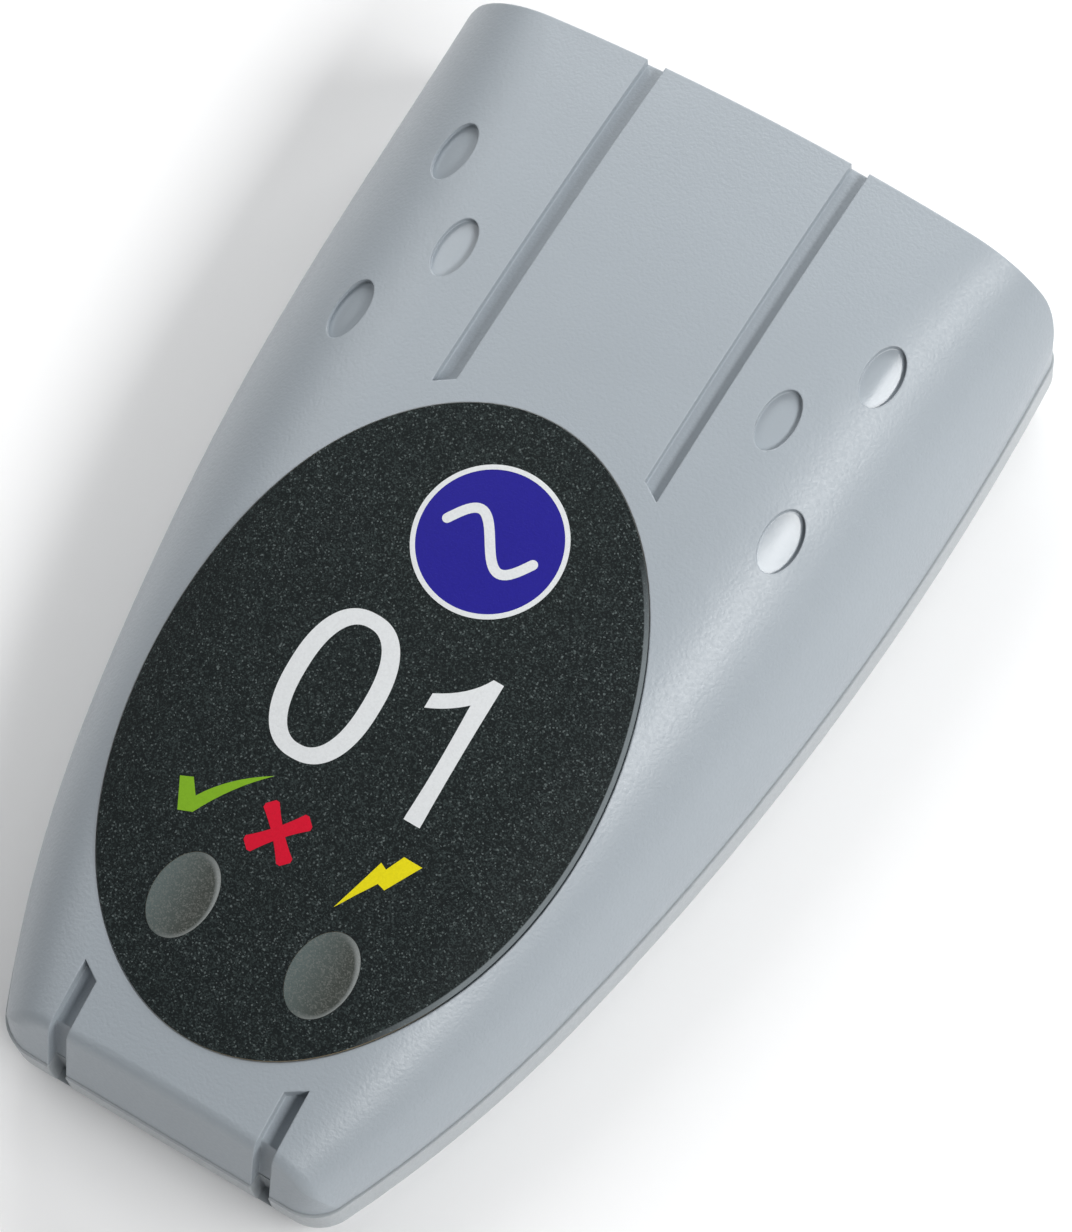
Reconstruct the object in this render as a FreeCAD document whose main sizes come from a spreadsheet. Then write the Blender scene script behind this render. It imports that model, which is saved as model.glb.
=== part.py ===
import FreeCAD, Part
import math
import os
import re
import Sketcher

"""A hand-held circuit breaker finder: crowned upper shell, lower shell with a sliding battery door,
an oval graphic film with two lamp windows, a circuit board with a modular socket, and two AAA cells.

Frame: +Z up, Y along the unit with the socket end at +Y, X across.  The origin is on the flat
underside, midway along the unit.  All sizes are millimetres.
"""

V = FreeCAD.Vector
doc = FreeCAD.newDocument("breaker_finder")
sheet = doc.addObject("Spreadsheet::Sheet", "sheet")

# ---------------------------------------------------------------------------- sizes

DRIVING = {
    # plan outline of the two shells, at the parting line
    "half_length": 50.9,
    "half_width": 31.57,
    "widest_at": 34.2,
    "side_radius": 276,
    "side_reach": 58.25,
    "taper_radius": 116.75,
    "back_radius": 1500,
    "back_corner": 2.2,
    "corner_least": 0.5,
    "front_corner": 4,
    "rim": 0.2,
    # heights and the crown of the top
    "parting": 7.05,
    "peak": 24.4,
    "peak_at": 23.6,
    "crown_length_radius": 258,
    "crown_cross_radius": 140,
    "share_drop": 0.3,
    "drop_from": 30,
    "roll_least": 0.7,
    "front_lean": 16.75,
    "lean_reach": 20,
    "front_bend": 1.6,
    "bottom_roll": 3.5,
    "wall": 2,
    "seam_gap": 0.3,
    "seam_line": 0.15,
    "tongue_thick": 0.7,
    "skin_margin": 0.04,
    # grooves, slots and dimples of the upper shell
    "groove_outer": 11.35,
    "groove_width": 1.85,
    "groove_depth": 1,
    "groove_start": 14.65,
    "slot_start": 42.65,
    "slot_depth": 1.25,
    "end_slant": 1.15,
    "dimple_length": 6.2,
    "dimple_width": 3.25,
    "dimple_depth": 0.5,
    # graphic film
    "film_length": 60.4,
    "film_width": 41.9,
    "film_at": 13.9,
    "film_seat": 0.15,
    "film_proud": 0.12,
    "window_length": 7.9,
    "window_width": 5.7,
    "window_at": 34.1,
    "window_tilt": 7,
    "status_x": 6.5,
    "voltage_x": 7.5,
    "pipe_length": 6.4,
    "pipe_width": 4.4,
    # circuit board
    "board_under": 12.8,
    "board_thick": 1.6,
    "board_half": 19.5,
    "board_back": 47.5,
    "board_front": 37,
    "board_shoulder": 8,
    "board_nose": 11.5,
    # cells, tray and door
    "cell_radius": 5.25,
    "cell_length": 44.5,
    "cell_x": 5.4,
    "tray_half": 10.9,
    "tray_front": 32.9,
    "tray_back": 17.9,
    "tray_wall": 1.2,
    "plate_thick": 0.45,
    "plate_room": 0.5,
    "spring_length": 5.3,
    "coil_radius": 2.9,
    "coil_pitch": 1.2,
    "wire_radius": 0.3,
    "door_half": 11.6,
    "door_flange": 1,
    "door_under": 0.15,
    "door_thick": 1.6,
    "door_back": 19.3,
    "slide_gap": 0.15,
    # screws
    "screw_x": 22.8,
    "screw_back": 41,
    "screw_front": 6,
    "boss_radius": 2.75,
    "board_screw_x": 15.8,
    "board_screw_y": 27,
    # modular socket
    "jack_half": 7.75,
    "jack_length": 14.5,
    "jack_face": 50.5,
    "jack_under": 2.1,
}

DERIVED = {
    "side_turn": "asin(side_reach / side_radius)",
    "side_centre": "half_width - side_radius",
    "taper_centre_x": "side_centre + (side_radius - taper_radius) * cos(side_turn)",
    "taper_centre_y": "widest_at - (side_radius - taper_radius) * sin(side_turn)",
    "back_centre": "half_length - back_radius",
    "centre_gap": "sqrt(side_centre^2 + (widest_at - back_centre)^2)",
    "crown_axis": "peak - crown_length_radius",
    "board_top": "board_under + board_thick",
    "cell_z": "door_under + door_thick + slide_gap + cell_radius",
}
NAMES = set(DRIVING) | set(DERIVED)


def fill_sheet():
    """Write the driving sizes, then the sizes worked out from them."""
    row = 1
    for table in (DRIVING, DERIVED):
        for alias, content in table.items():
            sheet.set("A%d" % row, alias)
            sheet.set("B%d" % row, str(content) if table is DRIVING else "=" + content)
            sheet.setAlias("B%d" % row, alias)
            row += 1
    doc.recompute()


def linked(formula):
    """Turn the size names in a formula into links to the sheet."""
    return re.sub(r"[a-z_]+", lambda m: "sheet." + m[0] if m[0] in NAMES else m[0], str(formula))


def value(formula):
    """The number a formula comes to now."""
    result = probe.evalExpression(linked(formula))
    return float(getattr(result, "Value", result))


fill_sheet()
probe = doc.addObject("App::FeaturePython", "probe")

# ---------------------------------------------------------------------------- sketch helpers


def new_body(name, base=None):
    """A named body, started from another object's solid when one is given."""
    body = doc.addObject("PartDesign::Body", name)
    body.Label = name
    body.AllowCompound = True
    if base is not None:
        body.BaseFeature = base
        doc.recompute()
    return body


def new_sketch(body, name, role, lift="0"):
    """A sketch on one of the body's own origin planes, lifted along that plane's normal."""
    sketch = body.newObject("Sketcher::SketchObject", name)
    plane = next(item for item in body.Origin.OriginFeatures if item.Role == role)
    sketch.AttachmentSupport = (plane, "")
    sketch.MapMode = "FlatFace"
    if lift != "0":
        sketch.setExpression("AttachmentOffset.Base.z", linked(lift))
    return sketch


def hold(sketch, kind, geometry, point, formula):
    """Fix one coordinate of a point with a formula."""
    index = sketch.addConstraint(Sketcher.Constraint(kind, geometry, point, value(formula)))
    sketch.setExpression("Constraints[%d]" % index, linked(formula))


def size(sketch, kind, geometry, formula):
    """Fix a radius or a length with a formula."""
    index = sketch.addConstraint(Sketcher.Constraint(kind, geometry, value(formula)))
    sketch.setExpression("Constraints[%d]" % index, linked(formula))


def arc_from(start, end, radius):
    """Anticlockwise arc of a given radius, less than half a turn, from start to end."""
    middle = (start + end) * 0.5
    half = (end - start) * 0.5
    inward = V(-half.y, half.x, 0).normalize()
    centre = middle + inward * math.sqrt(radius ** 2 - half.Length ** 2)
    first = math.atan2(start.y - centre.y, start.x - centre.x)
    last = math.atan2(end.y - centre.y, end.x - centre.x)
    return Part.ArcOfCircle(Part.Circle(centre, V(0, 0, 1), radius), first, last)


def path(sketch, corners):
    """Closed anticlockwise outline.  A corner with a third entry starts an arc of that radius."""
    points = [V(value(c[0]), value(c[1]), 0) for c in corners]
    first = sketch.GeometryCount
    for i, corner in enumerate(corners):
        start, end = points[i], points[(i + 1) % len(corners)]
        if len(corner) == 3:
            sketch.addGeometry(arc_from(start, end, value(corner[2])))
        else:
            sketch.addGeometry(Part.LineSegment(start, end))
    for i, corner in enumerate(corners):
        following = first + (i + 1) % len(corners)
        sketch.addConstraint(Sketcher.Constraint("Coincident", first + i, 2, following, 1))
        hold(sketch, "DistanceX", first + i, 1, corner[0])
        hold(sketch, "DistanceY", first + i, 1, corner[1])
        if len(corner) == 3:
            size(sketch, "Radius", first + i, corner[2])


def box_path(sketch, left, right, low, high):
    """Rectangle between four coordinates."""
    path(sketch, [(left, low), (right, low), (right, high), (left, high)])


def centred_box(sketch, x, y, width, length):
    """Rectangle of a width and length about a point."""
    half_x, half_y = "(%s) / 2" % width, "(%s) / 2" % length
    box_path(sketch, "%s - %s" % (x, half_x), "%s + %s" % (x, half_x),
             "%s - %s" % (y, half_y), "%s + %s" % (y, half_y))


def disc(sketch, x, y, radius):
    """Circle with its centre and radius fixed."""
    index = sketch.addGeometry(Part.Circle(V(value(x), value(y), 0), V(0, 0, 1), value(radius)))
    hold(sketch, "DistanceX", index, 3, x)
    hold(sketch, "DistanceY", index, 3, y)
    size(sketch, "Radius", index, radius)


def pad(body, sketch, length, name, back=False, midplane=False):
    """Pad a sketch by a formula."""
    feature = body.newObject("PartDesign::Pad", name)
    feature.Profile = sketch
    feature.setExpression("Length", linked(length))
    feature.Reversed = back
    feature.Midplane = midplane
    sketch.Visibility = False
    doc.recompute()
    return feature


def pocket(body, sketch, length, name, up=False, midplane=False):
    """Cut a sketch to a depth; it cuts against the sketch normal unless told to cut along it."""
    feature = body.newObject("PartDesign::Pocket", name)
    feature.Profile = sketch
    feature.setExpression("Length", linked(length))
    feature.Reversed = up
    feature.Midplane = midplane
    doc.recompute()
    return feature


def edges_where(shape, test):
    """Names of the edges whose middle point passes a test."""
    found = []
    for number, edge in enumerate(shape.Edges, 1):
        middle = edge.valueAt((edge.FirstParameter + edge.LastParameter) / 2)
        if test(middle, edge):
            found.append("Edge%d" % number)
    return found


def round_edges(body, radius, name, test):
    """Fillet the edges that pass a test."""
    base = body.Tip
    feature = body.newObject("PartDesign::Fillet", name)
    feature.Base = (base, edges_where(base.Shape, test))
    feature.setExpression("Radius", linked(radius))
    doc.recompute()
    return feature


# ---------------------------------------------------------------------------- shared shell shapes


def outline(sketch, grow):
    """Plan outline of the shells, grown outwards by a formula."""
    side = "(side_radius + %s)" % grow
    taper = "(taper_radius + %s)" % grow
    back = "(back_radius + %s)" % grow
    front_y = "-(half_length + %s)" % grow
    front_x = "taper_centre_x + sqrt(%s^2 - (taper_centre_y - %s)^2)" % (taper, front_y)
    join_x = "side_centre + %s * cos(side_turn)" % side
    join_y = "widest_at - %s * sin(side_turn)" % side
    along = "(%s^2 - %s^2 + centre_gap^2) / (2 * centre_gap)" % (side, back)
    across = "sqrt(%s^2 - (%s)^2)" % (side, along)
    run_x, run_y = "(-side_centre / centre_gap)", "((back_centre - widest_at) / centre_gap)"
    back_x = "side_centre + (%s) * %s - %s * %s" % (along, run_x, across, run_y)
    back_y = "widest_at + (%s) * %s + %s * %s" % (along, run_y, across, run_x)
    path(sketch, [
        ("-(%s)" % front_x, front_y),
        (front_x, front_y, taper),
        (join_x, join_y, side),
        (back_x, back_y, back),
        ("-(%s)" % back_x, back_y, side),
        ("-(%s)" % join_x, join_y, taper),
    ])


def crown(name, grow):
    """Loft of cross-sections under the crowned top, grown outwards by a formula."""
    body = new_body(name)
    sections = []
    for number, station in enumerate((-56, -42, -28, -14, 0, 14, 28, 42, 58)):
        sketch = new_sketch(body, "%s_section_%s" % (name, "abcdefghi"[number]), "XZ_Plane", str(-station))
        crown_section(sketch, station, grow)
        sections.append(sketch)
    loft = body.newObject("PartDesign::AdditiveLoft", name + "_loft")
    loft.Profile = sections[0]
    loft.Sections = sections[1:]
    doc.recompute()
    return body


def crown_section(sketch, station, grow):
    """One cross-section: upright sides, a rolled shoulder each side and a shallow crown."""
    join_y = value("widest_at - side_radius * sin(side_turn)")
    if station > join_y:
        half = "side_centre + sqrt((side_radius + %s)^2 - (%d - widest_at)^2)" % (grow, station)
    else:
        half = "taper_centre_x + sqrt((taper_radius + %s)^2 - (%d - taper_centre_y)^2)" % (grow, station)
    half = "(%s + skin_margin)" % half
    plain_top = "(crown_axis + sqrt(crown_length_radius^2 - (%d - peak_at)^2))" % station
    top = "(crown_axis + sqrt((crown_length_radius + %s)^2 - (%d - peak_at)^2))" % (grow, station)
    share = "(1 - share_drop * (max(0; %d - drop_from) / (half_length - drop_from))^2)" % station
    roll = "max(%s * (%s - parting) + %s; roll_least)" % (share, plain_top, grow)
    cross = "(crown_cross_radius + %s)" % grow
    reach = "(%s - %s)" % (cross, roll)
    rise = "sqrt(%s^2 - (%s - %s)^2)" % (reach, half, roll)
    shoulder = "%s - %s + %s" % (top, cross, rise)
    touch_x = "%s * (%s - %s) / %s" % (cross, half, roll, reach)
    touch_z = "%s - %s + %s * %s / %s" % (top, cross, cross, rise, reach)
    foot = "parting - 1.5"
    path(sketch, [
        ("-" + half, foot),
        (half, foot),
        (half, shoulder, roll),
        (touch_x, touch_z, cross),
        ("-" + touch_x, touch_z, roll),
        ("-" + half, shoulder),
    ])


def shell_prism(name, grow, foot, height="peak", rounded=True, leaning=True):
    """Prism on the plan outline, with a leaning front wall and rounded corners unless told otherwise."""
    body = new_body(name)
    sketch = new_sketch(body, name + "_plan", "XY_Plane", foot)
    outline(sketch, grow)
    pad(body, sketch, height, name + "_pad")
    if leaning:
        lean = new_sketch(body, name + "_lean", "YZ_Plane")
        top = "parting + lean_reach"
        slope = "tan(front_lean * 1deg)"
        wall_y = "-half_length - (%s) / cos(front_lean * 1deg)" % grow
        low_y = "%s + (%s - parting) * %s" % (wall_y, foot, slope)
        high_y = "%s + lean_reach * %s" % (wall_y, slope)
        path(lean, [("-80", foot), (low_y, foot), (high_y, top), ("-80", top)])
        pocket(body, lean, "120", name + "_front_cut", midplane=True)
    if rounded:
        round_edges(body, "front_corner + " + grow, name + "_front_corners", is_front_corner)
        back = "max(back_corner + %s; corner_least)" % grow
        round_edges(body, back, name + "_back_corners", is_back_corner)
    return body


def rises(edge):
    """True for an edge that climbs rather than lies flat."""
    return abs(edge.tangentAt(edge.FirstParameter).z) > 0.5


def is_front_corner(middle, edge):
    """Edges between the front wall and the sides."""
    below_top = middle.z < value("parting + lean_reach")
    return rises(edge) and middle.y < -35 and abs(middle.x) > 12 and below_top


def is_back_corner(middle, edge):
    """Edges between the back wall and the sides."""
    return rises(edge) and middle.y > 44 and abs(middle.x) > 24


def part_object(kind, name, base=None, tool=None, shapes=None):
    """A Part boolean of whole objects."""
    result = doc.addObject("Part::" + kind, name)
    if shapes is None:
        result.Base = base
        result.Tool = tool
    else:
        result.Shapes = shapes
    doc.recompute()
    return result


def ellipse(sketch, x, y, width, length, tilt="0"):
    """Ellipse with its long axis along Y, turned clockwise by a tilt in degrees."""
    centre = V(value(x), value(y), 0)
    angle = math.radians(value(tilt))
    long_end = centre + V(math.sin(angle), math.cos(angle), 0) * (value(length) / 2)
    short_end = centre + V(-math.cos(angle), math.sin(angle), 0) * (value(width) / 2)
    index = sketch.addGeometry(Part.Ellipse(long_end, short_end, centre))
    sketch.exposeInternalGeometry(index)
    hold(sketch, "DistanceX", index, 3, x)
    hold(sketch, "DistanceY", index, 3, y)
    size(sketch, "Distance", index + 1, length)
    size(sketch, "Distance", index + 2, width)
    if tilt == "0":
        sketch.addConstraint(Sketcher.Constraint("Vertical", index + 1))
    else:
        turn = sketch.addConstraint(Sketcher.Constraint("Angle", index + 1, math.pi / 2 - angle))
        sketch.setExpression("Constraints[%d]" % turn, linked("(90 - %s) * 1deg" % tilt))


def prism(name, draw, low, height):
    """Upright prism: draw(sketch) makes the outline at the low height."""
    body = new_body(name)
    sketch = new_sketch(body, name + "_plan", "XY_Plane", low)
    draw(sketch)
    pad(body, sketch, height, name + "_pad")
    return body


def add_pad(body, name, low, height, draw, role="XY_Plane", back=False, midplane=False):
    """Add material to a body from a new sketch."""
    sketch = new_sketch(body, name + "_sketch", role, low)
    draw(sketch)
    return pad(body, sketch, height, name, back=back, midplane=midplane)


def add_cut(body, name, low, depth, draw, role="XY_Plane", up=True, midplane=False):
    """Remove material from a body with a new sketch; upwards along the normal by default."""
    sketch = new_sketch(body, name + "_sketch", role, low)
    draw(sketch)
    return pocket(body, sketch, depth, name, up=up, midplane=midplane)


# ---------------------------------------------------------------------------- outer forms

SCREWS = [(sx + "screw_x", y) for sx in ("", "-") for y in ("screw_back", "-screw_front")]
BOARD_SCREWS = [(sx + "board_screw_x", "board_screw_y") for sx in ("", "-")]


def discs(sketch, places, radius):
    """A circle at each place."""
    for x, y in places:
        disc(sketch, x, y, radius)


def make_forms():
    """The solids that several pieces are cut from."""
    forms = {}
    plain = part_object("MultiCommon", "plain_form", shapes=[
        shell_prism("prism_plain", "0", "parting", rounded=False), crown("crown_outer", "0")])
    bent = new_body("bent_form", plain)
    round_edges(bent, "front_bend", "front_bend_fillet", is_front_top)
    forms["upper"] = part_object("MultiCommon", "upper_form", shapes=[
        bent, shell_prism("prism_round", "0", "parting")])
    forms["inside"] = part_object("MultiCommon", "inside_form", shapes=[
        shell_prism("prism_inside", "-wall", "parting - 1"), crown("crown_inside", "-wall")])
    forms["slot_floor"] = part_object("MultiCommon", "slot_floor", shapes=[
        shell_prism("prism_slot", "-slot_depth", "parting - 1", rounded=False),
        crown("crown_slot", "-slot_depth")])
    forms["groove_floor"] = crown("crown_groove", "-groove_depth")
    forms["dimple_floor"] = crown("crown_dimple", "-dimple_depth")
    forms["seat"] = crown("crown_seat", "-film_seat")
    forms["proud"] = crown("crown_proud", "film_proud")
    forms["lower"] = lower_form()
    return forms


def is_front_top(middle, edge):
    """Edges where the top meets the leaning front wall."""
    return middle.y < -47.5 and middle.z > value("parting") + 1.5


def lower_form():
    """Solid lower half: the plan outline with a rolled bottom edge."""
    body = prism("lower_form", lambda sketch: outline(sketch, "rim"), "0", "parting - seam_line")
    round_edges(body, "front_corner + rim", "lower_front_corners", is_front_corner)
    round_edges(body, "back_corner + rim", "lower_back_corners", is_back_corner)
    round_edges(body, "bottom_roll", "lower_bottom_roll", lambda m, e: abs(m.z) < 0.001)
    return body


# ---------------------------------------------------------------------------- shells

DIMPLE_PLACES = (("21.8", "35"), ("16.4", "26.5"), ("21.85", "17.6"))
DIMPLES = [(sx + x, y) for sx in ("", "-") for x, y in DIMPLE_PLACES]


def make_upper_shell(forms):
    """Crowned top shell with its posts, grooves, slots, dimples, film seat and lamp wells."""
    posts = new_body("inside_with_posts", forms["inside"])
    add_cut(posts, "post_spaces", "parting - 1", "30", lambda s: discs(s, SCREWS, "boss_radius"))
    hollow = part_object("Cut", "hollow_form", forms["upper"], posts)

    inner, outer = "groove_outer - groove_width", "groove_outer"
    grooves = prism("groove_plan", lambda s: slanted_pair(
        s, inner, outer, "groove_start + end_slant", "groove_start", "60"), "15", "20")
    slots = prism("slot_plan", lambda s: slanted_pair(
        s, inner, outer, "-slot_start - end_slant", "-slot_start", "-60"), "parting - 0.5", "20")
    seat = prism("seat_plan", lambda s: ellipse(
        s, "0", "-film_at", "film_width + 0.2", "film_length + 0.2"), "13", "20")
    dimples = prism("dimple_plan", lambda s: [
        ellipse(s, x, y, "dimple_width", "dimple_length") for x, y in DIMPLES], "15", "20")
    cutters = part_object("MultiFuse", "top_cutters", shapes=[
        part_object("Cut", "dimple_cutter", dimples, forms["dimple_floor"]),
        part_object("Cut", "groove_cutter", grooves, forms["groove_floor"]),
        part_object("Cut", "slot_cutter", slots, forms["slot_floor"]),
        part_object("Cut", "seat_cutter", seat, forms["seat"])])
    body = new_body("upper_shell", part_object("Cut", "carved_form", hollow, cutters))

    add_cut(body, "lamp_wells", "parting", "20", lambda s: [
        ellipse(s, x, "-window_at", "pipe_width + 0.1", "pipe_length + 0.1", "window_tilt")
        for x in ("-status_x", "voltage_x")])
    add_cut(body, "socket_gap", "-70", "24", lambda s: box_path(
        s, "-jack_half - 0.2", "jack_half + 0.2", "parting - 1", "board_under + 0.2"), "XZ_Plane")
    add_cut(body, "screw_pilots", "parting", "4.5", lambda s: discs(s, SCREWS, "1.3"))
    return body


def slanted_pair(sketch, inner, outer, inner_end, outer_end, far):
    """Two mirrored strips that run along Y to a far end and stop at a slanted near end."""
    strip = [(inner, inner_end), (outer, outer_end), (outer, far), (inner, far)]
    mirrored = [("-(%s)" % x, y) for x, y in strip]
    if value(far) < 0:
        path(sketch, strip[::-1])
        path(sketch, mirrored)
    else:
        path(sketch, strip)
        path(sketch, mirrored[::-1])


def make_lower_shell(forms):
    """Lower shell: floor, walls, seam tongue, battery tray, door channel, posts and socket gap."""
    space = shell_prism("lower_space", "-wall - seam_gap - tongue_thick / 2", "wall", leaning=False)
    hollow = part_object("Cut", "lower_hollow", forms["lower"], space)
    outside = shell_prism("tongue_outside", "-wall - seam_gap", "parting - 2", height="3")
    inside = shell_prism("tongue_inside", "-wall - seam_gap - tongue_thick", "parting - 3", height="5")
    tongue = part_object("Cut", "seam_tongue", outside, inside)
    body = new_body("lower_shell", part_object("MultiFuse", "lower_walls", shapes=[hollow, tongue]))
    add_pad(body, "tray_floor", "wall - 0.5", "1.9", lambda s: box_path(s, "-14.5", "14.5", "-47.5", "21"))
    side, front, back = "(tray_half + tray_wall)", "-tray_front - tray_wall", "tray_back + tray_wall"
    add_pad(body, "tray_walls", "wall - 0.5", "board_under - wall + 0.5", lambda s: box_path(
        s, "-" + side, side, front, back))
    add_cut(body, "tray_space", "-1", "20", lambda s: box_path(
        s, "-tray_half", "tray_half", "-tray_front", "tray_back"))
    door_edge, flange_edge = "(door_half + slide_gap)", "(door_half + door_flange + slide_gap)"
    end = "door_back + slide_gap"
    add_cut(body, "door_channel", "-1", "1.85", lambda s: box_path(
        s, "-" + door_edge, door_edge, "-60", end))
    add_cut(body, "flange_channel", "0.85", "1.05", lambda s: box_path(
        s, "-" + flange_edge, flange_edge, "-60", end))
    add_pad(body, "screw_posts", "1", "parting - 1", lambda s: discs(s, SCREWS, "boss_radius"))
    add_pad(body, "board_posts", "1", "board_under - 1", lambda s: discs(s, BOARD_SCREWS, "2.2"))
    add_cut(body, "screw_heads", "-1", "4", lambda s: discs(s, SCREWS, "2.3"))
    add_cut(body, "screw_holes", "-1", "30", lambda s: discs(s, SCREWS, "1.35"))
    add_cut(body, "board_pilots", "board_under - 5", "10", lambda s: discs(s, BOARD_SCREWS, "0.95"))
    add_cut(body, "socket_gap_low", "-70", "24", lambda s: box_path(
        s, "-jack_half - 0.2", "jack_half + 0.2", "wall", "parting + 5"), "XZ_Plane")
    inner, outer = "groove_outer - groove_width", "groove_outer"
    add_cut(body, "lip_notches", "wall + 0.4", "20", lambda s: [
        box_path(s, inner, outer, "-60", "-half_length + slot_depth"),
        box_path(s, "-" + outer, "-(%s)" % inner, "-60", "-half_length + slot_depth")])
    return body


def make_battery_door(forms):
    """Sliding door: a plate flush with the underside, a flange each side and thumb grooves."""
    block = prism("door_block", lambda s: box_path(s, "-door_half", "door_half", "-60", "door_back"),
                  "door_under", "0.9")
    add_pad(block, "door_flanges", "door_under + 0.85", "door_thick - 0.85", lambda s: box_path(
        s, "-door_half - door_flange", "door_half + door_flange", "-60", "door_back"))
    form = part_object("MultiCommon", "door_form", shapes=[forms["lower"], block])
    body = new_body("battery_door", form)
    add_cut(body, "thumb_grooves", "-1", "1.6", lambda s: [
        centred_box(s, "0", "%g" % (-41.5 + 2.4 * number), "14", "1.1") for number in range(5)])
    return body


# ---------------------------------------------------------------------------- graphic film and lamps


def make_film(forms):
    """Oval graphic film with two clear windows, each its own piece."""
    oval = prism("film_plan", lambda s: ellipse(s, "0", "-film_at", "film_width", "film_length"), "10", "20")
    cap = part_object("MultiCommon", "film_cap", shapes=[oval, forms["proud"]])
    sheet_form = part_object("Cut", "film_form", cap, forms["seat"])
    film = new_body("label_overlay", sheet_form)
    pieces = [film]
    for name, x in (("status_window", "-status_x"), ("voltage_window", "voltage_x")):
        add_cut(film, name + "_opening", "5", "25", lambda s: ellipse(
            s, x, "-window_at", "window_width", "window_length", "window_tilt"))
        core = prism(name + "_core", lambda s: ellipse(
            s, x, "-window_at", "window_width - 0.06", "window_length - 0.06", "window_tilt"), "10", "20")
        pieces.append(new_body(name, part_object("MultiCommon", name + "_form", shapes=[sheet_form, core])))
    return pieces


def make_light_pipes(forms):
    """Clear plugs that carry light from the lamps on the board up to the windows."""
    pieces = []
    top = crown("crown_pipe", "-film_seat - 0.05")
    for name, x in (("status_light_pipe", "-status_x"), ("voltage_light_pipe", "voltage_x")):
        plug = prism(name + "_core", lambda s: ellipse(
            s, x, "-window_at", "pipe_width", "pipe_length", "window_tilt"), "board_top + 0.7", "10")
        pieces.append(new_body(name, part_object("MultiCommon", name + "_form", shapes=[plug, top])))
    return pieces


def make_lamp(name, x):
    """Surface-mounted lamp: a body with a small raised lens."""
    body = new_body(name)
    add_pad(body, name + "_case", "board_top", "0.4", lambda s: centred_box(
        s, x, "-window_at", "2.8", "3.2"))
    add_pad(body, name + "_lens", "board_top + 0.4", "0.2", lambda s: centred_box(
        s, x, "-window_at", "2", "2.4"))
    return body


# ---------------------------------------------------------------------------- circuit board


def make_board():
    """Circuit board with screw holes and slots for the battery tabs."""
    body = new_body("circuit_board")
    add_pad(body, "board_plate", "board_under", "board_thick", lambda s: path(s, [
        ("-board_nose", "-board_front"), ("board_nose", "-board_front"),
        ("board_half", "-board_shoulder"), ("board_half", "board_back"),
        ("-board_half", "board_back"), ("-board_half", "-board_shoulder")]))
    add_cut(body, "board_holes", "0", "30", lambda s: discs(s, BOARD_SCREWS, "1.1"))
    add_cut(body, "tab_slots", "0", "30", lambda s: [
        centred_box(s, x, "tray_back - 0.35", "2.4", "0.8") for x in ("cell_x", "-cell_x")])
    return body


def make_block(name, x, y, width, length, height, edge=0.3):
    """A plain moulded component on the board with chamfered top edges."""
    body = new_body(name)
    block = add_pad(body, name + "_block", "board_top", height, lambda s: centred_box(
        s, x, y, width, length))
    top = value("board_top + " + height)
    feature = body.newObject("PartDesign::Chamfer", name + "_edge")
    feature.Base = (block, edges_where(block.Shape, lambda m, e: abs(m.z - top) < 0.001))
    feature.Size = edge
    doc.recompute()
    return body


def make_boxes(name, places, width, length, low, height):
    """Several equal small blocks as separate solids of one piece."""
    body = new_body(name)
    add_pad(body, name + "_blocks", low, height, lambda s: [
        centred_box(s, x, y, width, length) for x, y in places])
    return body


def make_components():
    """Parts soldered to the top of the board."""
    chip_x, chip_y = 0, -6
    pieces = [
        make_block("controller_chip", chip_x, chip_y, 10, 10, "1.5"),
        make_block("signal_transformer", -9, 36, 12.8, 9.6, "5.5", edge=0.5),
        make_block("voltage_regulator", 12, 8, 6.6, 3.6, "1.7"),
        make_block("clock_crystal", -12.5, -6, 4.6, 11.2, "3.4", edge=0.8),
    ]
    pins = [(chip_x + side * 5.65, chip_y - 3.6 + 0.8 * i) for side in (-1, 1) for i in range(10)]
    pieces.append(make_boxes("controller_pins", pins, 1.2, 0.35, "board_top", "0.25"))
    rows = [(x, y) for x in (8.5, 11.5, 14.5) for y in (-14, -10, -6)]
    pieces.append(make_boxes("chip_resistors", rows, 1.6, 0.8, "board_top", "0.45"))
    pairs = [(x, y) for x in (-4.5, 4.5) for y in (-16, 4, -22)]
    pieces.append(make_boxes("chip_capacitors", pairs, 2, 1.25, "board_top", "0.9"))
    capacitor = new_body("smoothing_capacitor")
    add_pad(capacitor, "capacitor_base", "board_top", "0.8", lambda s: centred_box(
        s, "10", "34", "7.2", "7.2"))
    add_pad(capacitor, "capacitor_can", "board_top + 0.8", "5", lambda s: disc(s, "10", "34", "3.15"))
    pieces.append(capacitor)
    return pieces


# ---------------------------------------------------------------------------- modular socket


def make_socket():
    """Socket housing under the board with its plug opening facing the back."""
    body = new_body("socket_housing")
    add_pad(body, "housing_block", "-jack_face", "jack_length", lambda s: box_path(
        s, "-jack_half", "jack_half", "jack_under", "board_under"), "XZ_Plane")
    mouth = [("-5.9", "jack_under + 3"), ("-3.1", "jack_under + 3"), ("-3.1", "jack_under + 1.3"),
             ("3.1", "jack_under + 1.3"), ("3.1", "jack_under + 3"), ("5.9", "jack_under + 3"),
             ("5.9", "jack_under + 9.6"), ("-5.9", "jack_under + 9.6")]
    add_cut(body, "plug_mouth", "-jack_face", "12", lambda s: path(s, mouth), "XZ_Plane", up=True)
    return body


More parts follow.
